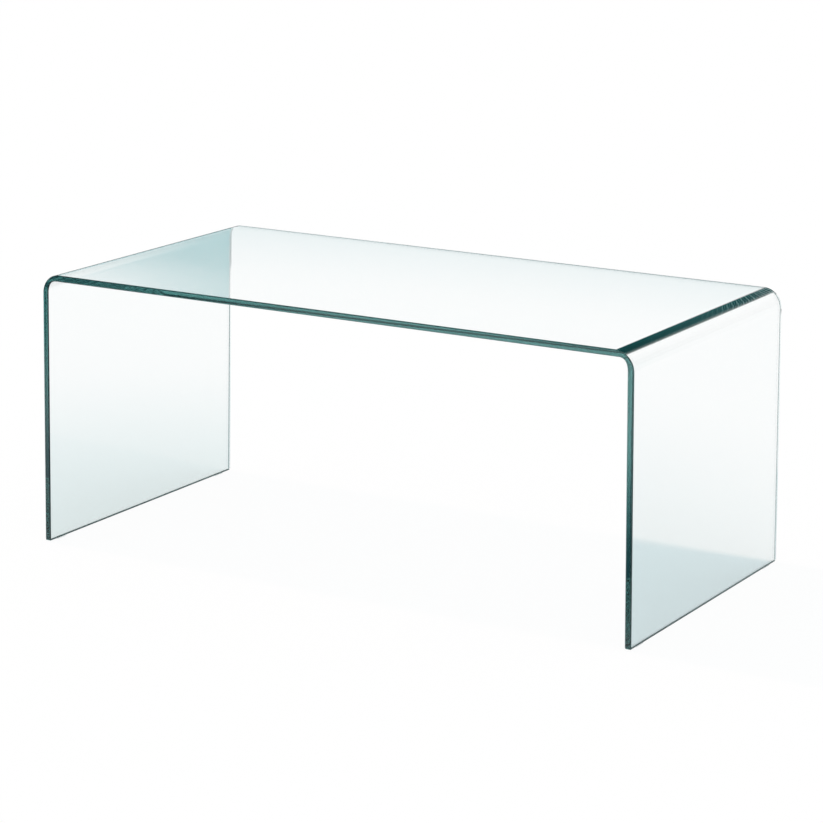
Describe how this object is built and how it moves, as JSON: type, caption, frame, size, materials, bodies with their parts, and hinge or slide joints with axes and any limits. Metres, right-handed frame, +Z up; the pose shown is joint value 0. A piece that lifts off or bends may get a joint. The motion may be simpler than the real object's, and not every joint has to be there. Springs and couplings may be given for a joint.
{
  "type": "waterfall coffee table",
  "caption": "Low clear glass table bent from a single sheet, its top curving down at both ends into full-width panel legs on clear foot pads.",
  "frame": {"origin": "on the floor, under the middle of the table", "axes": "+Z up, +X along the table's length to the right as seen from the front, -Y towards the front"},
  "size_m": [1.013, 0.5, 0.425],
  "materials": {
    "clear_glass": "clear float glass with a faint blue-green tint, polished flat edges of deeper teal and ground arrises",
    "clear_foot_rubber": "clear, slightly milky soft polyurethane with a satin skin",
    "clear_tape": "clear acrylic adhesive tape"
  },
  "bodies": {
    "root": {"bent_glass_sheet": "clear_glass", "front_left_foot_pad": "clear_foot_rubber", "front_right_foot_pad": "clear_foot_rubber", "rear_left_foot_pad": "clear_foot_rubber", "rear_right_foot_pad": "clear_foot_rubber", "front_left_pad_tape": "clear_tape", "front_right_pad_tape": "clear_tape", "rear_left_pad_tape": "clear_tape", "rear_right_pad_tape": "clear_tape"}
  },
  "joints": []
}
